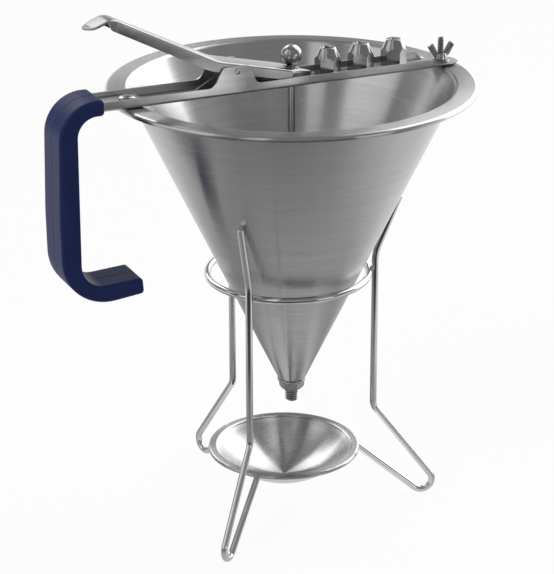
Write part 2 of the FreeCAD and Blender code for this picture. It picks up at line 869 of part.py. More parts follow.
def main():
    """Build every node."""
    os.makedirs("parts", exist_ok=True)
    legs = {name: leg(name) for name in leg_angles}
    for name, shape in legs.items():
        save("leg_" + name, shape)
    save("support_ring", support_ring(list(legs.values())))
    save("drip_bowl", drip_bowl())
    rivet = handle_rivet()
    save("funnel_cone", funnel_cone().cut(rivet))
    save("outlet_collar", outlet_collar())
    save("bridge_channel", bridge_channel())
    save("pivot_pin", pivot_pin())
    save("return_spring", return_spring())
    save("handle_core", handle_core())
    save("handle_grip", handle_grip())
    save("handle_rivet", rivet)
    save("clamp_stud", clamp_stud())
    save("clamp_washer", clamp_washer())
    save("wing_nut", wing_nut())
    save("trigger_lever", trigger_lever())
    save("piston_rod", piston_rod())
    save("ball_knob", ball_knob())
    save("valve_plug", valve_plug())
    for x, name, hole in zip(nozzle_places, nozzle_names, nozzle_holes):
        save("nozzle_post_" + name, nozzle_post(x))
        save("nozzle_" + name, nozzle(x, hole))


main()
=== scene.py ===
import math

import bmesh
import bpy
import numpy as np
from mathutils import Matrix, Vector


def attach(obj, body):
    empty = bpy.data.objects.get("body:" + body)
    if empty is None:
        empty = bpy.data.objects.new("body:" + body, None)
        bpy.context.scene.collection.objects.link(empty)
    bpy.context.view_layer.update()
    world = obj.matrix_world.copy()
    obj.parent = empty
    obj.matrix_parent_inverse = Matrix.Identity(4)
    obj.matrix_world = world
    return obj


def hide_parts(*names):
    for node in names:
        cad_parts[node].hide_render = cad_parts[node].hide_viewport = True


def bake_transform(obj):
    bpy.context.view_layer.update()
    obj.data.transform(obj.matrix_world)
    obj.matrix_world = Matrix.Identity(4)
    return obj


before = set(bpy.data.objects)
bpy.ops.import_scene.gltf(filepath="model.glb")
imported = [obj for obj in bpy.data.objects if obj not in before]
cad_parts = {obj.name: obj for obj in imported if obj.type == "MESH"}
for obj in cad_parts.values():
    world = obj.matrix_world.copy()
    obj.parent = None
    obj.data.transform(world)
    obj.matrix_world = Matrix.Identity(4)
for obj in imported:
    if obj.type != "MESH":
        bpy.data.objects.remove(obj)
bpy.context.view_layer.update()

# Sizes in millimetres, as in the part's source. The funnel's axis is Z and the bridge lies along X.
MM = 0.001
TURN = 2 * math.pi

MOUTH_RADIUS = 94.0
MOUTH_HEIGHT = 262.8
HALF_ANGLE = math.radians(25.4)
FUNNEL_WALL = 1.2
RIM_RADIUS = 105.0
RIM_DROP = 2.6
RIM_DISH = 0.1
TIP_RADIUS = 7.3
COLLAR_TOP = MOUTH_HEIGHT - (MOUTH_RADIUS - TIP_RADIUS) / math.tan(HALF_ANGLE)
COLLAR_BOTTOM = COLLAR_TOP - 5.5
SPOUT_BOTTOM = COLLAR_BOTTOM - 7.4
THREAD_RADIUS = 4.0
THREAD_PITCH = 1.25
OUTLET_RADIUS = 2.95
SEAT_TOP_RADIUS = 6.2
SEAT_DEPTH = 3.6
ROD_RADIUS = 2.1
KNOB_RADIUS = 5.9
KNOB_HEIGHT = 278.7
NECK_RADIUS = 2.9
PLUG_BAND = 2.6
PLUG_SHOULDER = 4.0
SHEET = 1.0
BRIDGE_WIDTH = 21.0
FLOOR_BOTTOM = MOUTH_HEIGHT
FLOOR_TOP = FLOOR_BOTTOM + SHEET
FLANGE_TOP = 268.2
PIN_X = -37.6
PIN_Z = 276.2
PIN_RADIUS = 1.3
HEX_FLATS = 13.0
WIRE = 2.0
STAND_SHIFT = (-3.1, 1.4)
RING_SHIFT = (-2.0, 0.9)
BOWL_SHIFT = (-4.3, 2.0)
LEG_RADIUS = 52.7
RING_RADIUS = 47.0
RING_HEIGHT = MOUTH_HEIGHT - (MOUTH_RADIUS - (RING_RADIUS - WIRE - 5.23)) / math.tan(HALF_ANGLE)
LEG_BEND = RING_HEIGHT + 9.2
BOWL_TOP = 37.9
STUD_X = 95.8
RIVET_X = -99.4
WASHER = 0.9


# Lines and outlines

def unit(vectors):
    """Each vector divided by its length."""
    return vectors / np.linalg.norm(vectors, axis=-1, keepdims=True)


def rounded_line(points, radii, steps=10):
    """Line through points with each inner corner on the circle of its radius that touches both runs."""
    points = np.asarray(points, float)
    parts = [points[:1]]
    for before, corner, after, radius in zip(points[:-2], points[1:-1], points[2:], radii):
        into = unit(corner - before)
        away = unit(after - corner)
        turn = math.acos(float(np.clip(into @ away, -1, 1)))
        if radius <= 0 or turn < 1e-5:
            parts.append(corner[None])
            continue
        inward = unit(away - into)
        forward = unit(into + away)
        centre = corner + inward * radius / math.cos(turn / 2)
        angle = np.linspace(-turn / 2, turn / 2, steps + 1)[:, None]
        parts.append(centre + radius * (np.sin(angle) * forward - np.cos(angle) * inward))
    parts.append(points[-1:])
    return np.vstack(parts)


def rounded_loop(corners, steps=8):
    """Closed line through rows of two coordinates and a corner radius."""
    corners = np.asarray(corners, float)
    ring = np.vstack([corners[-1:], corners, corners[:1]])
    return rounded_line(ring[:, :2], ring[1:-1, 2], steps)[1:-1]


def line_normals(line):
    """Left normals of a flat line, the mean heading at each point turned a quarter."""
    runs = unit(np.diff(line, axis=0))
    heading = unit(np.vstack([runs[:1], runs[:-1] + runs[1:], runs[-1:]]))
    return np.stack([-heading[:, 1], heading[:, 0]], axis=1)


def loop_inward(loop):
    """Normals of a closed flat line that point to its inside."""
    runs = unit(np.roll(loop, -1, axis=0) - loop)
    heading = unit(runs + np.roll(runs, 1, axis=0))
    left = np.stack([-heading[:, 1], heading[:, 0]], axis=1)
    after = np.roll(loop, -1, axis=0)
    area = np.sum(loop[:, 0] * after[:, 1] - loop[:, 1] * after[:, 0])
    return left * np.sign(area)


def sheet_loop(line, low, high, bulge=0.4):
    """Closed cross-section of a sheet: the line moved to both faces, its cut ends slightly domed."""
    normal = line_normals(line)
    near = line + normal * low
    far = line + normal * high
    angle = np.linspace(0, math.pi, 7)[1:-1, None]

    def end(a, b, out):
        middle = (a + b) / 2
        half = np.linalg.norm(a - b) / 2
        return middle + (a - middle) * np.cos(angle) + out * half * bulge * np.sin(angle)

    last = end(near[-1], far[-1], unit(line[-1] - line[-2]))
    first = end(far[0], near[0], unit(line[0] - line[1]))
    return np.vstack([near, last, far[::-1], first])


# Surfaces: each is a grid of points, rows by columns

def turned(loop, columns, centre=(0.0, 0.0)):
    """A line of (radius, height) carried round an upright axis: x = r cos a, y = r sin a."""
    angle = np.linspace(0, TURN, columns, endpoint=False)
    radius = loop[:, :1]
    x = centre[0] + radius * np.cos(angle)
    y = centre[1] + radius * np.sin(angle)
    return np.stack([x, y, loop[:, 1:] + 0 * angle], axis=2)


def turned_across(loop, columns=48):
    """A line of (radius, y) carried round the lever's axis."""
    angle = np.linspace(0, TURN, columns, endpoint=False)
    radius = loop[:, :1]
    x = PIN_X + radius * np.cos(angle)
    z = PIN_Z + radius * np.sin(angle)
    return np.stack([x, loop[:, 1:] + 0 * angle, z], axis=2)


def tube(path, radius, across, sides=32):
    """A circle carried along a path; across is the steady direction the path doesn't bend in."""
    path = np.asarray(path, float)
    runs = unit(np.diff(path, axis=0))
    heading = unit(np.vstack([runs[:1], runs[:-1] + runs[1:], runs[-1:]]))
    side = unit(np.cross(heading, across))
    up = np.cross(side, heading)
    angle = np.linspace(0, TURN, sides, endpoint=False)
    radius = np.broadcast_to(radius, (len(path),))[:, None, None]
    circle = side[:, None] * np.cos(angle)[:, None] + up[:, None] * np.sin(angle)[:, None]
    return path[:, None] + radius * circle


def cut_wire(path, radius, across, sides=32, chamfer=0.35):
    """A tube whose two cut ends have a small chamfer."""
    path = np.asarray(path, float)
    start = path[0] + unit(path[1] - path[0]) * chamfer
    end = path[-1] + unit(path[-2] - path[-1]) * chamfer
    full = np.vstack([path[:1], start[None], path[1:-1], end[None], path[-1:]])
    radii = np.full(len(full), radius)
    radii[[0, -1]] -= chamfer
    return tube(full, radii, across, sides)


def slab(loop, half, fillet, groove=0.0, steps=7):
    """A flat loop in X and Z given thickness along Y, its edges rounded by a fillet.

    At t from 0 to a quarter turn the edge lies fillet * (1 - sin t) inside the loop, at a depth of
    fillet * (1 - cos t). A groove is a fine parting line round the middle; the rows beside it keep the
    shading of the flat face even.
    """
    inward = loop_inward(loop)
    t = np.linspace(0, math.pi / 2, steps)
    inset = fillet * (1 - np.sin(t))
    depth = -half + fillet * (1 - np.cos(t))
    if groove > 0:
        dip = np.array([0.0, 0.0, 0.0, 0.15, 1.0, 0.15, 0.0, 0.0, 0.0])
        beside = np.array([-9.0, -4.0, -2.2, -1.4, 0.0, 1.4, 2.2, 4.0, 9.0])
        hold = depth[-1] + 1.0
        inset = np.concatenate([inset, [0.0], groove * dip, [0.0], inset[::-1]])
        depth = np.concatenate([depth, [hold], groove * beside, [-hold], -depth[::-1]])
    else:
        inset = np.concatenate([inset, inset[::-1]])
        depth = np.concatenate([depth, -depth[::-1]])
    flat = loop + inward * inset[:, None, None]
    return np.stack([flat[..., 0], depth[:, None] + 0 * flat[..., 0], flat[..., 1]], axis=2)


def threaded(radius, pitch, depth, bottom, top, columns, per_turn=12, centre=(0.0, 0.0)):
    """A screw thread: its radius follows a triangle wave of height / pitch minus angle / full turn.

    The wave is steepened and clipped to leave flat crests and roots, and both ends have a chamfer.
    """
    steepness, crest_share = 1.9, 0.6
    chamfer_height, chamfer_depth = 0.6, 0.45
    rows = int((top - bottom) / pitch * per_turn)
    z = np.linspace(bottom, top, rows)[:, None]
    angle = np.linspace(0, TURN, columns, endpoint=False)
    phase = (z / pitch - angle / TURN) % 1.0
    wave = np.clip(steepness * (1 - np.abs(2 * phase - 1)) - crest_share, 0, 1)
    ease = np.minimum(np.minimum(z - bottom, top - z) / chamfer_height, 1.0)
    r = radius - depth * wave - chamfer_depth * (1 - ease)
    x = centre[0] + r * np.cos(angle)
    y = centre[1] + r * np.sin(angle)
    return np.stack([x, y, z + 0 * angle], axis=2)


def hexagon_radius(angle):
    """Distance from the axis to a hexagon's side, with flats facing along the bridge."""
    sector = math.radians(60)
    return HEX_FLATS / 2 / np.cos((angle + sector / 2) % sector - sector / 2)


# Meshes and pieces

def shell(grid, wrap_rows=False, wrap_columns=True, capped=False):
    """Four-sided faces over a grid, with the distance along rows and columns as its UV map."""
    rows, columns = grid.shape[:2]
    index = np.arange(rows * columns).reshape(rows, columns)
    if wrap_rows:
        index = np.vstack([index, index[:1]])
    if wrap_columns:
        index = np.hstack([index, index[:, :1]])
    points = grid.reshape(-1, 3)
    laid = points[index]
    along = np.linalg.norm(np.diff(laid, axis=0), axis=2).mean(axis=1)
    around = np.linalg.norm(np.diff(laid, axis=1), axis=2).mean(axis=0)
    v = np.concatenate([[0], np.cumsum(along)])
    u = np.concatenate([[0], np.cumsum(around)])
    uv = np.stack(np.broadcast_arrays(u[None, :], v[:, None]), axis=2) * MM

    def corners(values):
        return np.stack([values[:-1, :-1], values[:-1, 1:], values[1:, 1:], values[1:, :-1]], axis=2)

    faces = corners(index).reshape(-1, 4).tolist()
    loops = corners(uv).reshape(-1, 2)
    if capped:
        faces += [index[0, :columns].tolist()[::-1], index[-1, :columns].tolist()]
        flat = points[index[[0, -1], :columns]][..., [0, 2]].reshape(-1, 2) * MM
        loops = np.vstack([loops, flat])
    return points, faces, loops


def piece(name, shells, body, node, material, sharp=32.0):
    """One mesh object from shells: doubles merged, faces turned outward, sharp edges kept sharp.

    A piece given no body is left unattached. A piece that bends between two bodies is given no
    body here.
    """
    same_place, no_length = 0.002 * MM, 0.001 * MM
    starts = np.cumsum([0] + [len(points) for points, _, _ in shells[:-1]])
    points = np.vstack([part[0] for part in shells]) * MM
    faces = []
    for start, (_, part, _) in zip(starts, shells):
        faces += [[corner + int(start) for corner in face] for face in part]
    mesh = bpy.data.meshes.new(name)
    mesh.from_pydata(points.tolist(), [], faces)
    layer = mesh.uv_layers.new(name="run")
    layer.data.foreach_set("uv", np.vstack([part[2] for part in shells]).astype(np.float32).ravel())
    work = bmesh.new()
    work.from_mesh(mesh)
    bmesh.ops.remove_doubles(work, verts=work.verts, dist=same_place)
    bmesh.ops.dissolve_degenerate(work, edges=work.edges, dist=no_length)
    bmesh.ops.recalc_face_normals(work, faces=work.faces)
    work.to_mesh(mesh)
    work.free()
    mesh.shade_smooth()
    mesh.set_sharp_from_angle(angle=math.radians(sharp))
    made = bpy.data.objects.new(name, mesh)
    bpy.context.scene.collection.objects.link(made)
    mesh.materials.append(material)
    if body:
        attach(made, body)
    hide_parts(node)
    return made


# Finishes

def join(tree, value, socket):
    """Give a socket a value: a link where the value is a socket too, a setting where it isn't."""
    if isinstance(value, bpy.types.NodeSocket):
        tree.links.new(value, socket)
    else:
        socket.default_value = value


def combined(tree, operation, a, b=0.0):
    """One sum on numbers or sockets."""
    made = tree.nodes.new("ShaderNodeMath")
    made.operation = operation
    join(tree, a, made.inputs[0])
    join(tree, b, made.inputs[1])
    return made.outputs[0]


class Finish:
    """A node material that is put together a step at a time."""

    def __init__(self, name):
        self.material = bpy.data.materials.new(name)
        self.material.use_nodes = True
        self.tree = self.material.node_tree
        self.shader = self.tree.nodes["Principled BSDF"]
        self.place = self.tree.nodes.new("ShaderNodeTexCoord").outputs["Object"]

    def node(self, kind, **values):
        """A node with its inputs set by name or linked."""
        made = self.tree.nodes.new(kind)
        for key, value in values.items():
            if hasattr(made, key):
                setattr(made, key, value)
                continue
            join(self.tree, value, made.inputs[key.replace("_", " ")])
        return made

    def math(self, operation, a, b=0.0):
        """One sum in this material."""
        return combined(self.tree, operation, a, b)

    def scaled(self, scale):
        """The object's own coordinates, stretched."""
        return self.node("ShaderNodeMapping", Vector=self.place, Scale=scale).outputs[0]

    def length(self, x, y):
        """Square root of the sum of two squares."""
        squares = self.math("ADD", self.math("MULTIPLY", x, x), self.math("MULTIPLY", y, y))
        return self.math("SQRT", squares)

    def ringed(self, across, round_about, centre=(0.0, 0.0)):
        """Coordinates that run fast away from an upright axis and up it, and slowly round it."""
        moved = self.node(
            "ShaderNodeMapping", Vector=self.place, Location=(-centre[0] * MM, -centre[1] * MM, 0)
        ).outputs[0]
        split = self.node("ShaderNodeSeparateXYZ", Vector=moved)
        x, y, z = split.outputs
        run = self.math("MULTIPLY", self.math("ADD", self.length(x, y), z), across)
        joined = self.node("ShaderNodeCombineXYZ")
        self.tree.links.new(self.math("MULTIPLY", x, round_about), joined.inputs[0])
        self.tree.links.new(self.math("MULTIPLY", y, round_about), joined.inputs[1])
        self.tree.links.new(run, joined.inputs[2])
        return joined.outputs[0]

    def noise(self, vector, scale, detail, roughness):
        """Cloudy noise from 0 to 1."""
        made = self.node("ShaderNodeTexNoise", Vector=vector, Scale=scale, Detail=detail, Roughness=roughness)
        return made.outputs["Fac"]

    def spread(self, value, low, high, start=0.3, stop=0.7):
        """A value between start and stop carried to low and high."""
        made = self.tree.nodes.new("ShaderNodeMapRange")
        self.tree.links.new(value, made.inputs["Value"])
        for key, number in (("From Min", start), ("From Max", stop), ("To Min", low), ("To Max", high)):
            made.inputs[key].default_value = number
        return made.outputs[0]

    def blend(self, share, first, second):
        """Two colours mixed by a share."""
        made = self.tree.nodes.new("ShaderNodeMix")
        made.data_type = "RGBA"
        first_colour, second_colour, mixed = made.inputs[6], made.inputs[7], made.outputs[2]
        join(self.tree, share, made.inputs["Factor"])
        join(self.tree, first, first_colour)
        join(self.tree, second, second_colour)
        return mixed

    def feed(self, name, value):
        """Set or link one input of the shader."""
        join(self.tree, value, self.shader.inputs[name])

    def relief(self, height, distance, strength):
        """Fine relief from a height."""
        made = self.node("ShaderNodeBump", Height=height, Distance=distance, Strength=strength)
        self.feed("Normal", made.outputs[0])

    def grain(self, share, turn):
        """Highlights drawn out across the brushing, by the UV map's heading."""
        made = self.tree.nodes.new("ShaderNodeTangent")
        made.direction_type = "UV_MAP"
        made.uv_map = "run"
        self.feed("Tangent", made.outputs[0])
        self.feed("Anisotropic", share)
        self.feed("Anisotropic Rotation", turn)


def grey(level, warmth=0.0):
    """A grey colour with a touch of warmth."""
    return (level * (1 + warmth), level, level * (1 - warmth), 1.0)


def spun_steel(name, level, rough, centre, cloud):
    """Sheet steel spun on a lathe: fine rings round the axis, soft cloudy patches, faint rubbed marks."""
    finish = Finish(name)
    fine = finish.noise(finish.ringed(2600.0, 14.0, centre), scale=1.0, detail=3.0, roughness=0.7)
    broad = finish.noise(finish.ringed(420.0, 9.0, centre), scale=1.0, detail=2.0, roughness=0.6)
    patches = finish.noise(finish.scaled((1, 1, 1)), scale=cloud, detail=3.0, roughness=0.55)
    rubbed = finish.noise(finish.scaled((40, 9, 150)), scale=1.0, detail=2.0, roughness=0.5)
    tone = finish.blend(finish.spread(broad, 0.0, 1.0, 0.35, 0.65), grey(level * 0.97), grey(level * 1.03))
    tone = finish.blend(finish.spread(patches, 0.0, 0.3, 0.4, 0.7), tone, grey(level * 0.9, 0.008))
    finish.feed("Base Color", tone)
    finish.feed("Metallic", 1.0)
    marks = finish.spread(rubbed, 0.0, 0.02, 0.4, 0.8)
    lines = finish.spread(fine, rough * 0.9, rough * 1.12)
    finish.feed("Roughness", finish.math("ADD", lines, marks))
    finish.relief(fine, distance=0.000008, strength=0.2)
    finish.grain(share=1.0, turn=0.25)
    return finish.material


def brushed_sheet(name, level, rough, share):
    """Flat sheet brushed along the bridge: long fine lines and soft dull patches."""
    finish = Finish(name)
    fine = finish.noise(finish.scaled((22, 1900, 1900)), scale=1.0, detail=3.0, roughness=0.65)
    broad = finish.noise(finish.scaled((9, 260, 260)), scale=1.0, detail=2.0, roughness=0.5)
    cloud = finish.noise(finish.scaled((1, 1, 1)), scale=33.0, detail=3.0, roughness=0.6)
    tone = finish.blend(finish.spread(broad, 0.0, 1.0, 0.35, 0.65), grey(level * 0.9), grey(level * 1.06))
    tone = finish.blend(finish.spread(cloud, 0.0, 0.4, 0.45, 0.75), tone, grey(level * 0.8, 0.01))
    finish.feed("Base Color", tone)
    finish.feed("Metallic", 1.0)
    dull = finish.spread(cloud, 0.0, 0.08, 0.4, 0.7)
    finish.feed("Roughness", finish.math("ADD", finish.spread(fine, rough * 0.8, rough * 1.25), dull))
    finish.relief(fine, distance=0.000008, strength=0.2)
    finish.grain(share, turn=0.0)
    return finish.material


def bright_steel(name, level, rough, lines, roots=None):
    """Bright steel off a lathe or a die, with fine tool lines and a little handling haze.

    Roots are the radii in millimetres across which painted shade, near black in a thread's roots and in the
    bore, gives way to the steel's own tone.
    """
    finish = Finish(name)
    fine = finish.noise(finish.ringed(lines, 60.0), scale=1.0, detail=2.0, roughness=0.6)
    haze = finish.noise(finish.scaled((1, 1, 1)), scale=90.0, detail=3.0, roughness=0.6)
    tone = finish.blend(finish.spread(fine, 0.0, 1.0), grey(level * 0.94), grey(level * 1.04))
    if roots:
        split = finish.node("ShaderNodeSeparateXYZ", Vector=finish.place).outputs
        # Painted shade: the colour is near black at small radii, in the thread's roots and the bore, and turns
        # to the steel's tone towards the crests
        root_shade = finish.spread(finish.length(split[0], split[1]), 0.0, 1.0, roots[0] * MM, roots[1] * MM)
        tone = finish.blend(root_shade, grey(level * 0.12), tone)
    finish.feed("Base Color", tone)
    finish.feed("Metallic", 1.0)
    finish.feed("Roughness", finish.math("ADD", finish.spread(fine, rough * 0.8, rough * 1.2),
                                         finish.spread(haze, 0.0, 0.07, 0.45, 0.75)))
    finish.relief(fine, distance=0.00001, strength=0.25)
    return finish.material


def drawn_wire(name, level, rough):
    """Drawn and polished wire: smooth, with faint die lines and small dull spots."""
    finish = Finish(name)
    spots = finish.noise(finish.scaled((1, 1, 1)), scale=420.0, detail=2.0, roughness=0.6)
    slow = finish.noise(finish.scaled((1, 1, 1)), scale=60.0, detail=2.0, roughness=0.5)
    tone = finish.blend(finish.spread(slow, 0.0, 1.0), grey(level * 0.92), grey(level * 1.05))
    finish.feed("Base Color", tone)
    finish.feed("Metallic", 1.0)
    finish.feed("Roughness", finish.math("ADD", finish.spread(slow, rough * 0.8, rough * 1.3),
                                         finish.spread(spots, 0.0, 0.08, 0.6, 0.8)))
    finish.relief(spots, distance=0.00002, strength=0.2)
    return finish.material


def moulded_plastic(name):
    """Navy moulded plastic: a fine even grain and a satin sheen, a little cloudy along its flow."""
    finish = Finish(name)
    grain = finish.noise(finish.scaled((1, 1, 1)), scale=2600.0, detail=2.0, roughness=0.6)
    flow = finish.noise(finish.scaled((1, 1, 0.35)), scale=45.0, detail=3.0, roughness=0.5)
    dark_navy, light_navy = (0.0095, 0.017, 0.072, 1), (0.0135, 0.0235, 0.096, 1)
    finish.feed("Base Color", finish.blend(finish.spread(flow, 0.0, 1.0), dark_navy, light_navy))
    satin = finish.spread(flow, 0.36, 0.44)
    finish.feed("Roughness", finish.math("ADD", satin, finish.spread(grain, 0.0, 0.06)))
    finish.feed("Specular IOR Level", 0.12)
    finish.relief(grain, distance=0.00004, strength=0.35)
    return finish.material


FUNNEL_STEEL = spun_steel("spun_funnel_steel", level=0.56, rough=0.24, centre=(0, 0), cloud=14.0)
BOWL_STEEL = spun_steel("spun_bowl_steel", level=0.5, rough=0.25, centre=BOWL_SHIFT, cloud=17.0)
SHEET_STEEL = brushed_sheet("brushed_sheet_steel", level=0.6, rough=0.28, share=0.4)
LEVER_STEEL = brushed_sheet("brushed_lever_steel", level=0.36, rough=0.26, share=0.2)
TURNED_STEEL = bright_steel("turned_steel", level=0.42, rough=0.2, lines=3200.0)
# Threaded steel carries painted shade in its thread roots and bore
THREAD_STEEL = bright_steel("threaded_steel", level=0.5, rough=0.25, lines=3200.0, roots=(3.4, 3.65))
HARDWARE_STEEL = bright_steel("bright_hardware", level=0.4, rough=0.2, lines=1500.0)
WIRE_STEEL = drawn_wire("bright_wire", level=0.68, rough=0.1)
SPRING_STEEL = drawn_wire("spring_wire", level=0.38, rough=0.25)
GRIP_PLASTIC = moulded_plastic("navy_grip")


# Funnel

def funnel_cone():
    """The spun cone: a bent sheet line turned round the axis, with the rim's lip turned down."""
    inset = FUNNEL_WALL / 2 / math.cos(HALF_ANGLE)
    slope = math.tan(HALF_ANGLE)
    start_z = COLLAR_TOP
    flange_z = MOUTH_HEIGHT - FUNNEL_WALL / 2
    mouth_z = flange_z - RIM_DISH
    lip_r = RIM_RADIUS - FUNNEL_WALL / 2
    mouth_bend, lip_bend = 2.4, 1.3
    line = rounded_line([
        (MOUTH_RADIUS - (MOUTH_HEIGHT - start_z) * slope - inset, start_z),
        (MOUTH_RADIUS - (MOUTH_HEIGHT - mouth_z) * slope - inset, mouth_z),
        (lip_r, flange_z),
        (lip_r, MOUTH_HEIGHT - RIM_DROP),
    ], [mouth_bend, lip_bend], 12)
    loop = sheet_loop(line, -FUNNEL_WALL / 2, FUNNEL_WALL / 2)
    piece("funnel_cone_spun", [shell(turned(loop, 288), wrap_rows=True)], "funnel", "funnel_cone",
          FUNNEL_STEEL)


def outlet_collar():
    """Hexagon collar: for each angle the chamfer starts where its cone meets the hexagon's side."""
    angle = np.linspace(0, TURN, 192, endpoint=False)
    side = hexagon_radius(angle)
    corner = HEX_FLATS / math.sqrt(3)
    chamfer = 1.9
    foot = HEX_FLATS / 2 - chamfer / 2
    meet = COLLAR_BOTTOM + chamfer * (side - foot) / (corner + 0.1 - foot)
    flat = np.ones_like(angle)
    seat = COLLAR_TOP - SEAT_DEPTH
    radius = [OUTLET_RADIUS * flat, foot * flat, side, side, SEAT_TOP_RADIUS * flat, OUTLET_RADIUS * flat]
    level = [COLLAR_BOTTOM, COLLAR_BOTTOM, meet, COLLAR_TOP, COLLAR_TOP, seat]
    radius, height = np.array(radius), np.array([flat * z for z in level])
    grid = np.stack([radius * np.cos(angle), radius * np.sin(angle), height], axis=2)
    spout_top, thread_depth = COLLAR_BOTTOM + 0.4, 0.65
    spout = threaded(THREAD_RADIUS, THREAD_PITCH, thread_depth, SPOUT_BOTTOM, spout_top, 96)
    bore = turned(np.array([(OUTLET_RADIUS, spout_top), (OUTLET_RADIUS, SPOUT_BOTTOM)]), 96)
    joined = np.vstack([spout[::-1], bore[::-1]])
    bead = 0.35
    braze_line = rounded_line([
        (7.75, COLLAR_TOP - 0.1), (8.15, COLLAR_TOP + 0.35), (8.2, COLLAR_TOP + 0.9)
    ], [0.6])
    braze = turned(sheet_loop(braze_line, -bead, bead, 1.0), 96)
    piece("outlet_collar_turned", [
        shell(grid, wrap_rows=True), shell(joined, wrap_rows=True), shell(braze, wrap_rows=True)
    ], "funnel", "outlet_collar", THREAD_STEEL)


# Piston

def piston():
    """Rod, ball with its neck and the valve plug, each turned from a line of radius and height."""
    rod_in_ball, rod_in_plug = 1.6, 3.5
    top = KNOB_HEIGHT - rod_in_ball
    foot = COLLAR_TOP + PLUG_BAND + PLUG_SHOULDER - rod_in_plug
    rod = np.array([(0, foot), (ROD_RADIUS, foot), (ROD_RADIUS, top), (0, top)])
    piece("piston_rod_drawn", [shell(turned(rod, 64))], "piston", "piston_rod", TURNED_STEEL)
    plate_z, plate_x, plate_slope, gap = 272.5, 4.0, -0.2255, 0.3
    neck_foot = plate_z + (plate_x - NECK_RADIUS) * plate_slope + gap
    neck_top = KNOB_HEIGHT - 5.6
    angle = np.linspace(math.pi / 2, -math.acos(NECK_RADIUS / KNOB_RADIUS) + 0.1, 40)[:, None]
    ball = np.hstack([KNOB_RADIUS * np.cos(angle), KNOB_HEIGHT + KNOB_RADIUS * np.sin(angle)])
    neck = rounded_line([
        ball[-1], (NECK_RADIUS, neck_top), (NECK_RADIUS, neck_foot), (0, neck_foot)
    ], [0.5, 0.3])
    loop = np.vstack([ball, neck[1:]])
    piece("ball_knob_turned", [shell(turned(loop, 96))], "piston", "ball_knob", TURNED_STEEL)
    slope = (SEAT_TOP_RADIUS - OUTLET_RADIUS) / SEAT_DEPTH
    foot_z = COLLAR_TOP - SEAT_DEPTH + gap * math.hypot(1, slope) / slope
    band = OUTLET_RADIUS + (COLLAR_TOP - foot_z) * slope
    plug_top = COLLAR_TOP + PLUG_BAND + PLUG_SHOULDER
    plug = rounded_line([
        (0, foot_z), (OUTLET_RADIUS, foot_z), (band, COLLAR_TOP), (band, COLLAR_TOP + PLUG_BAND),
        (ROD_RADIUS + 0.6, plug_top), (0, plug_top),
    ], [0.3, 0.3, 0.4, 0.3])
    piece("valve_plug_turned", [shell(turned(plug, 96))], "piston", "valve_plug",
          TURNED_STEEL)


# Bridge, lever and what holds them

def bridge():
    """The channel: a U section whose walls' height is a line along X, with ears and the clamp's tab."""
    left, right, ramp, narrowing = -121.0, 88.0, 4.0, 2.0
    ear_top = 279.0
    tab_end, tab_centre, tab_half, tab_round = 105.6, 97.1, 9.0, 8.5
    outer_bend, inner_bend = 2.0, 1.0
    crest = rounded_line([
        (left, FLANGE_TOP), (-51.6, FLANGE_TOP), (-46.4, ear_top), (-30.2, ear_top), (-26.0, FLANGE_TOP),
        (right - ramp, FLANGE_TOP), (right, FLOOR_TOP), (tab_end, FLOOR_TOP),
    ], [6.0, 3.0, 3.0, 3.0, 2.0, 0.0], 14)
    nose = tab_end - tab_round * (1 - np.cos(np.linspace(0, math.pi / 2, 16)))
    x = np.unique(np.round(np.concatenate([crest[:, 0], np.linspace(left, right, 60), nose]), 3))
    top = np.interp(x, crest[:, 0], crest[:, 1])
    full = BRIDGE_WIDTH / 2
    width = np.where(x < right - narrowing, full, np.interp(x, [right - narrowing, right], [full, tab_half]))
    arc = np.sqrt(np.clip(tab_round ** 2 - (x - tab_centre) ** 2, 0, None))
    width = np.where(x > tab_centre, tab_half - tab_round + arc, width)
    bend = np.linspace(0, math.pi / 2, 7)
    width, top = width[:, None], top[:, None]
    outer = np.minimum(outer_bend, width * 0.5)
    inner = np.minimum(inner_bend, width * 0.3)
    wall = np.minimum(SHEET, width * 0.5)
    y = np.hstack([width - outer + outer * np.sin(bend), width, width - wall,
                   width - wall - inner + inner * np.cos(bend)])
    z = np.hstack([FLOOR_BOTTOM + outer - outer * np.cos(bend), top, top,
                   FLOOR_TOP + inner - inner * np.sin(bend)])
    z = np.minimum(z, top)
    ring_y = np.hstack([y, -y[:, ::-1]])
    ring_z = np.hstack([z, z[:, ::-1]])
    grid = np.stack([x[:, None] + 0 * ring_y, ring_y, ring_z], axis=2)
    piece("bridge_channel_folded", [shell(grid, capped=True)], "funnel", "bridge_channel",
          SHEET_STEEL)


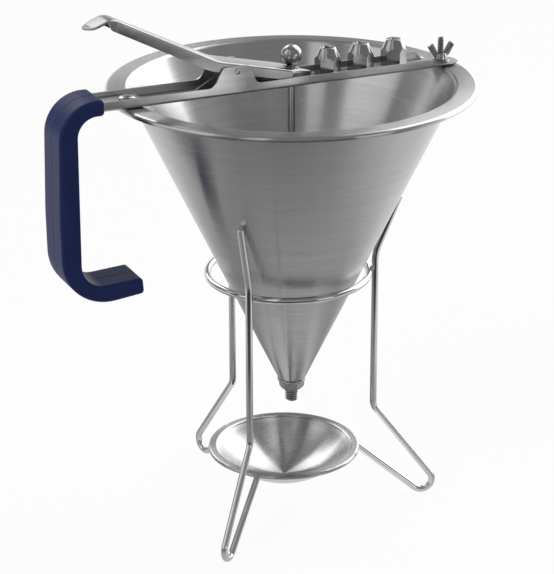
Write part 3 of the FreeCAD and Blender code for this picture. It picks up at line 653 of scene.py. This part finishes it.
def trigger_lever():
    """The lever as two mirrored halves: top plate, bend and wall carried along X, down to the thumb rest."""
    tip, nose, thumb, crest = -123.4, 11.4, 8.0, -109.0
    before_wall, wall_start = -111.0, -110.95
    outer_bend, inner_bend, hair = 1.6, 0.6, 0.01
    line = rounded_line([
        (tip, 308.1), (-119.6, 308.7), (crest, 313.0), (-47.9, 282.4), (-4.0, 272.5), (nose, 268.3)
    ], [9.0, 9.0, 25.0, 20.0], 16)
    low = rounded_line([
        (tip, 300.0), (-110.9, 309.9), (-109.4, 306.4), (-53.6, 277.9), (-1.5, 265.9), (nose, 265.6)
    ], [0.0, 2.2, 25.0, 6.0], 10)
    low = low[low[:, 0] > before_wall]
    end = tip + thumb * (1 - np.cos(np.linspace(0, math.pi / 2, 18)))
    slot_left, slot_right, slot_half = -5.2, 3.8, 2.5
    slot_end = slot_half * (1 - np.cos(np.linspace(0, math.pi / 2, 9)))
    cut = np.concatenate([slot_left + slot_end, slot_right - slot_end, [slot_left - hair, slot_right + hair]])
    x = np.unique(np.round(np.concatenate([
        line[:, 0], low[:, 0], end, cut, np.linspace(tip, nose, 90), np.linspace(before_wall - 0.2, crest, 12)
    ]), 3))
    top = np.interp(x, line[:, 0], line[:, 1])
    foot = np.interp(x, low[:, 0], low[:, 1])
    foot = np.where(x < wall_start, top - SHEET, np.minimum(foot, top - SHEET))
    half = np.interp(x, [-112.0, -106.0, -62.0, -4.0, nose], [thumb, 6.8, 9.25, 9.25, 1.2])
    arc = np.sqrt(np.clip(thumb ** 2 - (tip + thumb - x) ** 2, 0.02, None))
    half = np.where(x < tip + thumb, arc, half)
    within = np.clip(np.minimum(x - slot_left, slot_right - x), 0, slot_half)
    inner_y = np.sqrt(np.clip(slot_half ** 2 - (slot_half - within) ** 2, 0, None)) + hair
    inner_y = np.minimum(inner_y, half * 0.8)[:, None]
    half, top, foot = half[:, None], top[:, None], foot[:, None]
    bend = np.linspace(0, math.pi / 2, 7)
    outer = np.minimum(outer_bend, half * 0.5)
    hollow = np.maximum(half - SHEET, inner_y)
    tight = np.minimum(inner_bend, np.maximum(hollow - inner_y, 0) * 0.5)
    y = np.hstack([inner_y, half - outer + outer * np.sin(bend), half, hollow,
                   hollow - tight + tight * np.cos(bend), inner_y])
    z = np.hstack([top, top - outer + outer * np.cos(bend), foot, foot,
                   top - SHEET - tight + tight * np.sin(bend), top - SHEET])
    z = np.maximum(z, foot)
    grid = np.stack([x[:, None] + 0 * y, y, z], axis=2)
    piece("trigger_lever_folded", [shell(grid, capped=True), shell(grid * (1, -1, 1), capped=True)],
          "lever", "trigger_lever", LEVER_STEEL, 28.0)


def pivot_pin():
    """The pin through both ears, with low domed heads."""
    half = BRIDGE_WIDTH / 2
    head_radius, head_height = 1.8, 0.5
    dome = np.linspace(0, math.pi / 2, 8)[:, None]
    head = np.hstack([head_radius * np.cos(dome), half + head_height * np.sin(dome)])
    shank = [(head_radius, -half), (PIN_RADIUS, -half), (PIN_RADIUS, half), (head_radius, half)]
    loop = np.vstack([head[::-1] * (1, -1), shank, head])
    piece("pivot_pin_peened", [shell(turned_across(loop))], "funnel", "pivot_pin", HARDWARE_STEEL)


def return_spring():
    """Wire on a circle round the pin that steps sideways with each turn, its ends leaving along tangents.

    It is given no body, and its place is baked into its mesh.
    """
    play, wire = 0.15, 0.4
    coil = PIN_RADIUS + play + wire
    turns, pitch = 4, 1.25
    arm_share = 0.86
    floor_slope, arm_slope = math.radians(29.0), math.radians(30.5)
    total = floor_slope + math.pi + arm_slope + turns * TURN
    travel = floor_slope - np.linspace(0, total, 260)
    step = np.clip((-math.pi / 2 - travel) / (turns * TURN), 0, 1)
    round_pin = np.stack([
        PIN_X - coil * np.sin(travel), (step - 0.5) * turns * pitch, PIN_Z + coil * np.cos(travel)
    ], axis=1)
    fall = round_pin[0, 2] - FLOOR_TOP - wire - 0.1
    run = fall / math.tan(floor_slope)
    foot = round_pin[0] - (run, 0, fall)
    along_arm = np.array([math.cos(-math.pi - arm_slope), 0, math.sin(math.pi - arm_slope)])
    tip = round_pin[-1] + arm_share * run * along_arm
    arm = round_pin[-1] + np.linspace(0, 1, 24)[1:, None] * (tip - round_pin[-1])
    path = np.vstack([foot[None], round_pin, arm])
    made = piece("return_spring_wound", [shell(cut_wire(path, wire, (0, 1, 0), 16, 0.1), capped=True)], None,
                 "return_spring", SPRING_STEEL)
    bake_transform(made)


def handle_rivet():
    """Rivet with a low domed head."""
    top = FLOOR_TOP + 2.0
    bottom = MOUTH_HEIGHT - FUNNEL_WALL
    head_radius, head_edge, head_height = 4.8, 0.3, 1.6
    tail_radius, shank = 3.2, 2.4
    dome = np.linspace(0, math.pi / 2, 14)[:, None]
    head = np.hstack([head_radius * np.cos(dome), top + head_edge + head_height * np.sin(dome)])
    tail = [(0, bottom - 1.0), (2.7, bottom - 1.0), (tail_radius, bottom - 0.5), (tail_radius, bottom)]
    loop = np.vstack([tail, [(shank, bottom), (shank, top), (head_radius, top)], head])
    piece("handle_rivet_domed", [shell(turned(loop, 72, (RIVET_X, 0)))], "funnel", "handle_rivet",
          HARDWARE_STEEL)


def clamp():
    """Threaded stud, washer and wing nut: a round hub with two flat blades."""
    stud_radius, stud_top, pitch, depth = 2.0, 277.8, 0.7, 0.33
    stud = threaded(stud_radius, pitch, depth, MOUTH_HEIGHT, stud_top, 48, 10, (STUD_X, 0))
    piece("clamp_stud_threaded", [shell(stud, capped=True)], "funnel", "clamp_stud",
          HARDWARE_STEEL)
    hole, edge, upper = 2.15, 5.0, FLOOR_TOP + WASHER
    washer = rounded_loop([(hole, FLOOR_TOP, 0.1), (edge, FLOOR_TOP, 0.25), (edge, upper, 0.25),
                           (hole, upper, 0.1)])
    piece("clamp_washer_plain", [shell(turned(washer, 64, (STUD_X, 0)), wrap_rows=True)], "funnel",
          "clamp_washer", HARDWARE_STEEL)
    base = upper + 0.05
    bore, crown = 2.08, base + 3.8
    hub = rounded_loop([(bore, base, 0.1), (4.0, base, 0.4), (3.1, crown, 0.5), (bore, crown, 0.1)])
    shells = [shell(turned(hub, 64, (STUD_X, 0)), wrap_rows=True)]
    blade_half, blade_edge = 1.0, 0.45
    blade = np.array([(2.4, 0.9, 0.3), (5.3, 2.5, 0.9), (8.6, 8.1, 0.8), (5.8, 10.5, 0.8), (2.4, 4.6, 0.3)])
    for side in (1, -1):
        loop = rounded_loop(blade, 6) * (side, 1) + (STUD_X, base)
        shells.append(shell(slab(loop, blade_half, blade_edge), capped=True))
    piece("wing_nut_forged", shells, "nut", "wing_nut", HARDWARE_STEEL)


def nozzle(name, x, hole):
    """Hexagon nozzle on its threaded post: chamfer, flats and cone meet where their radii are equal."""
    angle = np.linspace(0, TURN, 192, endpoint=False)
    side = hexagon_radius(angle)
    corner = HEX_FLATS / math.sqrt(3) + 0.1
    bottom = FLOOR_TOP + 0.05
    shoulder, top, top_radius, chamfer = 273.2, 280.5, 4.3, 0.6
    edge, countersink, sink_depth = 0.25, 0.5, 0.8
    flat = np.ones_like(angle)
    low = bottom + chamfer * (side - HEX_FLATS / 2) / (corner - HEX_FLATS / 2)
    high = shoulder + (top - shoulder) * (corner - side) / (corner - top_radius)
    bore, deep = THREAD_RADIUS + 0.1, bottom + 7.6
    radius = [bore * flat, HEX_FLATS / 2 * flat, side, side]
    height = [bottom * flat, bottom * flat, low, high]
    for share in (0.25, 0.5, 0.75, 0.96):
        radius.append(side + (top_radius - side) * share)
        height.append(high + (top - high) * share)
    radius += [(top_radius - edge) * flat, (hole + countersink) * flat, hole * flat, hole * flat, bore * flat]
    height += [top * flat, top * flat, (top - sink_depth) * flat, (deep + bore - hole) * flat, deep * flat]
    radius, height = np.array(radius), np.array(height)
    grid = np.stack([x + radius * np.cos(angle), radius * np.sin(angle), height], axis=2)
    piece("nozzle_" + name + "_turned", [shell(grid, wrap_rows=True)], "spare_" + name, "nozzle_" + name,
          TURNED_STEEL, 14.0)
    post_top, thread_depth = FLOOR_TOP + 6.0, 0.62
    post = threaded(THREAD_RADIUS, THREAD_PITCH, thread_depth, FLOOR_TOP, post_top, 72, 10, (x, 0))
    piece("nozzle_post_" + name + "_threaded", [shell(post, capped=True)], "funnel", "nozzle_post_" + name,
          TURNED_STEEL)


# Handle

def handle():
    """The moulded grip: its side outline as a rounded slab, with a fine parting line round the middle."""
    end, over, under = -117.0, 270.5, 261.6
    half, fillet, groove = 13.5, 2.0, 0.16
    loop = rounded_loop([
        (end, over, 2.1), (-142.7, over, 22.0), (-144.7, 205.0, 220.0), (-144.3, 151.2, 27.5),
        (-96.9, 156.0, 2.2), (-97.6, 165.2, 2.2), (-133.2, 163.3, 13.5), (-132.4, under, 11.4),
        (end, under, 2.1),
    ], 14)
    piece("handle_grip_moulded", [shell(slab(loop, half, fillet, groove, 9), capped=True)], "funnel",
          "handle_grip", GRIP_PLASTIC)
    thickness, bar_half, edge = 2.0, 7.5, 0.25
    down, low = -138.6, 159.4
    bar_z = FLOOR_TOP + thickness / 2
    line = rounded_line([(-92.0, bar_z), (down, bar_z), (down, low), (-102.0, low + 1.6)], [17.0, 21.0], 16)
    bar = slab(sheet_loop(line, -thickness / 2, thickness / 2), bar_half, edge)
    piece("handle_core_bent", [shell(bar, capped=True)], "funnel", "handle_core", SHEET_STEEL)


# Stand

def cone_outside(z):
    """Radius of the cone's outer face at a height."""
    return MOUTH_RADIUS - (MOUTH_HEIGHT - z) * math.tan(HALF_ANGLE)


def leg_lean(angle, height, rise):
    """Lean that brings the wire's tip a hair off the cone, found by halving the angle's range."""
    low, high = 0.0, math.radians(40)
    clearance = 0.3
    for _ in range(50):
        lean = (low + high) / 2
        tip = LEG_RADIUS + rise * math.tan(lean)
        reach = math.hypot(STAND_SHIFT[0] + tip * math.cos(angle), STAND_SHIFT[1] + tip * math.sin(angle))
        gap = reach - WIRE * math.cos(lean) - cone_outside(height + WIRE * math.sin(lean))
        if gap > clearance / math.cos(HALF_ANGLE):
            high = lean
        else:
            low = lean
    return (low + high) / 2


def touch_point(outside, centre, radius, side):
    """Where a line from a point touches a circle."""
    step = centre - outside
    away = np.linalg.norm(step)
    heading = math.atan2(step[1], step[0]) + side * math.asin(radius / away)
    reach = math.sqrt(away ** 2 - radius ** 2)
    return outside + reach * np.array([math.cos(heading), math.sin(heading)])


def leg(name, degrees, rise):
    """A bent wire: leaning tip, upright run, slanting run, hairpin foot and the run back to the bowl.

    It is drawn in a plane as (distance from the stand's axis, height), then turned to its angle.
    """
    angle = math.radians(degrees)
    upright, height = LEG_RADIUS, LEG_BEND + rise
    tip = np.array([upright + rise * math.tan(leg_lean(angle, height, rise)), height])
    knee_height, hairpin = 60.1, 6.5
    knee = np.array([upright, knee_height])
    centre = np.array([83.1, 8.5])
    end = np.array([40.6, 36.2])
    top_bend, knee_bend = 25.0, 9.0
    outer = touch_point(knee, centre, hairpin, 1)
    inner = touch_point(end, centre, hairpin, -1)
    first = math.atan2(*(outer - centre)[::-1])
    last = math.atan2(*(inner - centre)[::-1])
    round_foot = np.linspace(first, last - (TURN if last > first else 0), 28)[1:-1, None]
    foot = centre + hairpin * np.hstack([np.cos(round_foot), np.sin(round_foot)])
    line = rounded_line([tip, (upright, LEG_BEND), knee, outer], [top_bend, knee_bend], 14)
    line = np.vstack([line, foot, inner[None], end[None]])
    out = np.array([math.cos(angle), math.sin(angle), 0])
    path = line[:, :1] * out + line[:, 1:] * np.array([0, 0, 1.0]) + np.array([*STAND_SHIFT, 0])
    side = np.array([-out[1], out[0], 0])
    piece("leg_" + name + "_bent", [shell(cut_wire(path, WIRE, side, 40), capped=True)], "stand",
          "leg_" + name, WIRE_STEEL)


def support_ring(angles):
    """Ring of wire with a short swelling weld out to each leg."""
    centre = np.array([*RING_SHIFT, RING_HEIGHT])
    around = np.linspace(0, TURN, 240, endpoint=False)[:, None]
    section = np.linspace(0, TURN, 32, endpoint=False)
    radius = RING_RADIUS + WIRE * np.cos(section)
    grid = np.stack([
        centre[0] + radius * np.cos(around), centre[1] + radius * np.sin(around),
        centre[2] + WIRE * np.sin(section) + 0 * around,
    ], axis=2)
    shells = [shell(grid, wrap_rows=True)]
    sunk, waist, swell = 0.6, 1.2, 0.9
    for degrees in angles:
        angle = math.radians(degrees)
        beside = np.array([math.cos(angle), math.sin(angle), 0]) * LEG_RADIUS + (*STAND_SHIFT, RING_HEIGHT)
        out = unit(beside - centre)
        start = centre + out * (RING_RADIUS + sunk)
        share = np.linspace(0, 1, 14)[:, None]
        path = start + (beside - out * sunk - start) * share
        weld = waist + swell * (2 * share[:, 0] - 1) ** 2
        shells.append(shell(tube(path, weld, (0, 0, 1), 24), capped=True))
    piece("support_ring_welded", shells, "stand", "support_ring", WIRE_STEEL)


def drip_bowl():
    """The bowl: a cap of a sphere, a flat flange and a small lip turned down, turned round its axis."""
    wall, curve, slope = 0.9, 50.7, math.radians(52.0)
    bottom, lip_radius, lip_drop = 16.9, 45.2, 1.9
    floor_z, flange_z, lip_r = bottom + wall / 2, BOWL_TOP - wall / 2, lip_radius - wall / 2
    low_r = curve * math.tan(slope / 2)
    line = rounded_line([
        (0, floor_z), (low_r, floor_z), (low_r + (flange_z - floor_z) / math.tan(slope), flange_z),
        (lip_r, flange_z), (lip_r, BOWL_TOP - lip_drop),
    ], [curve, 1.6, 0.9], 24)
    normal = line_normals(line)
    normal[0] = (0, 1)
    edge = sheet_loop(line[-3:], -wall / 2, wall / 2)[3:8]
    loop = np.vstack([line - normal * wall / 2, edge, (line + normal * wall / 2)[::-1]])
    piece("drip_bowl_spun", [shell(turned(loop, 192, BOWL_SHIFT))], "stand", "drip_bowl",
          BOWL_STEEL)


# Legs: name, degrees round from +X, height of the tip above the bend
LEGS = (("front", -138.5, 38.2), ("right", -18.0, 35.2), ("left", 103.0, 37.2))

# Spare nozzles: name, place along the bridge, radius of the hole
NOZZLES = (("wide", 22.7, 2.5), ("medium", 43.7, 2.0), ("fine", 65.0, 1.5))

funnel_cone()
outlet_collar()
piston()
bridge()
trigger_lever()
pivot_pin()
return_spring()
handle_rivet()
clamp()
for nozzle_name, nozzle_x, nozzle_hole in NOZZLES:
    nozzle(nozzle_name, nozzle_x, nozzle_hole)
handle()
for leg_name, leg_degrees, leg_rise in LEGS:
    leg(leg_name, leg_degrees, leg_rise)
support_ring([degrees for _, degrees, _ in LEGS])
drip_bowl()


# Studio: a pale floor, a surround with soft white panels, soft lamps and the camera

def pale_floor():
    """A level disc just under the feet, in metres: white to the camera, and shaded in reflections.

    There it is bright under the funnel, dim round it, brighter far off and dark in front.
    """
    radius, sides, drop = 3.0, 96, 0.0002
    ring = np.linspace(0, TURN, sides, endpoint=False)[:, None]
    points = np.hstack([radius * np.cos(ring), radius * np.sin(ring), 0 * ring - drop])
    mesh = bpy.data.meshes.new("floor")
    mesh.from_pydata(points.tolist(), [], [list(range(sides))])
    floor = bpy.data.objects.new("floor", mesh)
    bpy.context.scene.collection.objects.link(floor)
    finish = Finish("pale_floor")
    finish.feed("Base Color", grey(0.62))
    finish.feed("Roughness", 0.9)
    finish.feed("Specular IOR Level", 0.1)
    white = finish.node("ShaderNodeEmission", Strength=1.0)
    split = finish.node("ShaderNodeSeparateXYZ", Vector=finish.place)
    x, y = split.outputs[0], split.outputs[1]
    away = finish.length(x, y)
    sideways, sight_x, sight_y = 0.25, 0.42, 0.91
    reach = finish.math("ADD", away, finish.math("MULTIPLY", x, sideways))
    level = finish.math("ADD", finish.spread(reach, FLOOR_NEAR, FLOOR_FAR, start=0.15, stop=0.34),
                        finish.spread(away, FLOOR_UNDER, 0.0, start=0.03, stop=0.13))
    depth = finish.math("ADD", finish.math("MULTIPLY", x, sight_x), finish.math("MULTIPLY", y, sight_y))
    level = finish.math("MULTIPLY", level, finish.spread(depth, FLOOR_FRONT, 1.0, start=-0.3, stop=-0.15))
    behind = finish.spread(finish.math("ADD", away, depth), 0.0, FLOOR_BEHIND, start=0.6, stop=1.6)
    level = finish.math("ADD", level, behind)
    dim = finish.node("ShaderNodeEmission", Strength=level)
    rays = finish.tree.nodes.new("ShaderNodeLightPath").outputs
    camera_share, mirror_share = 0.94, 0.95
    to_camera = finish.math("MULTIPLY", rays["Is Camera Ray"], camera_share)
    to_mirror = finish.math("MULTIPLY", rays["Is Glossy Ray"], mirror_share)
    shown = finish.node("ShaderNodeMixShader", Fac=to_camera)
    seen = finish.node("ShaderNodeMixShader", Fac=to_mirror)
    finish.tree.links.new(finish.shader.outputs[0], shown.inputs[1])
    finish.tree.links.new(white.outputs[0], shown.inputs[2])
    finish.tree.links.new(shown.outputs[0], seen.inputs[1])
    finish.tree.links.new(dim.outputs[0], seen.inputs[2])
    finish.tree.links.new(seen.outputs[0], finish.tree.nodes["Material Output"].inputs["Surface"])
    mesh.materials.append(finish.material)


def surround():
    """A white room to the camera; to everything else a grey one with soft white panels."""
    world = bpy.data.worlds.new("studio")
    bpy.context.scene.world = world
    world.use_nodes = True
    tree = world.node_tree
    back = tree.nodes["Background"]
    place = tree.nodes.new("ShaderNodeTexCoord").outputs["Generated"]
    split = tree.nodes.new("ShaderNodeSeparateXYZ")
    tree.links.new(place, split.inputs[0])

    def maths(operation, a, b=0.0):
        """One sum in the world's nodes."""
        return combined(tree, operation, a, b)

    def ease(value, start, stop):
        """0 before start and 1 after stop, with a smooth step between."""
        made = tree.nodes.new("ShaderNodeMapRange")
        made.interpolation_type = "SMOOTHSTEP"
        tree.links.new(value, made.inputs["Value"])
        made.inputs["From Min"].default_value = start
        made.inputs["From Max"].default_value = stop
        return made.outputs[0]

    x, y, z = split.outputs
    flat = maths("SQRT", maths("ADD", maths("MULTIPLY", x, x), maths("MULTIPLY", y, y)))

    def panel(azimuth, half, low, high, soft, strength):
        """A panel between two azimuths and two elevations, its edges softened."""
        a = math.radians(azimuth)
        ahead = maths("ADD", maths("MULTIPLY", x, math.cos(a)), maths("MULTIPLY", y, math.sin(a)))
        ahead = maths("DIVIDE", ahead, flat)
        wide = ease(ahead, math.cos(math.radians(half + soft)), math.cos(math.radians(half)))
        over = ease(z, math.sin(math.radians(low - soft)), math.sin(math.radians(low)))
        under = ease(z, math.sin(math.radians(high + soft)), math.sin(math.radians(high)))
        return maths("MULTIPLY", maths("MULTIPLY", wide, strength), maths("MULTIPLY", over, under))

    total = ROOM_LEVEL
    for values in PANELS:
        total = maths("ADD", panel(*values), total)
    seen = tree.nodes.new("ShaderNodeLightPath").outputs["Is Camera Ray"]
    strength = maths("ADD", maths("MULTIPLY", total, maths("SUBTRACT", 1.0, seen)), seen)
    tree.links.new(strength, back.inputs["Strength"])
    back.inputs["Color"].default_value = (1, 1, 1, 1)


def lamp(name, place, aim, size, power):
    """A square soft lamp turned to face a point, left out of reflections."""
    data = bpy.data.lights.new(name, "AREA")
    data.shape = "SQUARE"
    data.size = size
    data.energy = power
    made = bpy.data.objects.new(name, data)
    bpy.context.scene.collection.objects.link(made)
    place, aim = Vector(place), Vector(aim)
    turn = (aim - place).to_track_quat("-Z", "Y").to_matrix().to_4x4()
    made.matrix_world = Matrix.Translation(place) @ turn
    made.visible_glossy = False


def camera():
    """The photograph's viewpoint: a long lens looking down, with the bridge's handle end nearer."""
    turn, pitch, roll = math.radians(25.04), math.radians(21.43), math.radians(-0.19)
    place = Vector((-0.5013, -1.05295, 0.5965))
    level = Vector((math.sin(turn), math.cos(turn), 0))
    forward = level * math.cos(pitch) - Vector((0, 0, 1)) * math.sin(pitch)
    right = Vector((math.cos(turn), -math.sin(turn), 0))
    up = right.cross(forward)
    tilted = right * math.cos(roll) + up * math.sin(roll)
    upward = up * math.cos(roll) - right * math.sin(roll)
    data = bpy.data.cameras.new("camera")
    data.sensor_fit = "VERTICAL"
    data.sensor_height = 36.0
    data.lens = 134.45
    data.clip_start = 0.05
    data.clip_end = 30.0
    made = bpy.data.objects.new("camera", data)
    bpy.context.scene.collection.objects.link(made)
    axes = Matrix((tilted, upward, -forward)).transposed().to_4x4()
    made.matrix_world = Matrix.Translation(place) @ axes
    bpy.context.scene.camera = made


# Levels seen in reflections: the room, and the floor under the funnel, near it, far off and added far behind
ROOM_LEVEL = 0.27
FLOOR_UNDER = 0.85
FLOOR_NEAR = 0.31
FLOOR_FAR = 0.8
FLOOR_BEHIND = 0.3

# Share of the floor's level that is left in front
FLOOR_FRONT = 0.03

# Panels: degrees round from +X, half width, lower and upper edge above the horizon, softness, strength
PANELS = (
    (222.0, 7.0, 12.0, 60.0, 2.0, 0.6),
    (173.0, 21.0, 8.0, 55.0, 3.0, 0.75),
    (21.5, 31.5, -8.0, 58.0, 1.5, 2.4),
    (78.0, 28.0, -8.0, 12.0, 3.0, 0.8),
    (96.0, 16.0, 22.0, 46.0, 3.0, 2.5),
    (295.0, 10.0, -6.0, 9.0, 3.0, 1.5),
    (0.0, 178.0, 62.0, 88.0, 14.0, 0.12),
)

pale_floor()
surround()
middle = (0, 0, 0.15)
lamp("key", (-1.3, -0.5, 1.3), middle, size=0.9, power=12.0)
lamp("fill", (1.3, 0.1, 1.0), middle, size=0.8, power=9.0)
camera()
bpy.context.scene.view_settings.view_transform = "Standard"
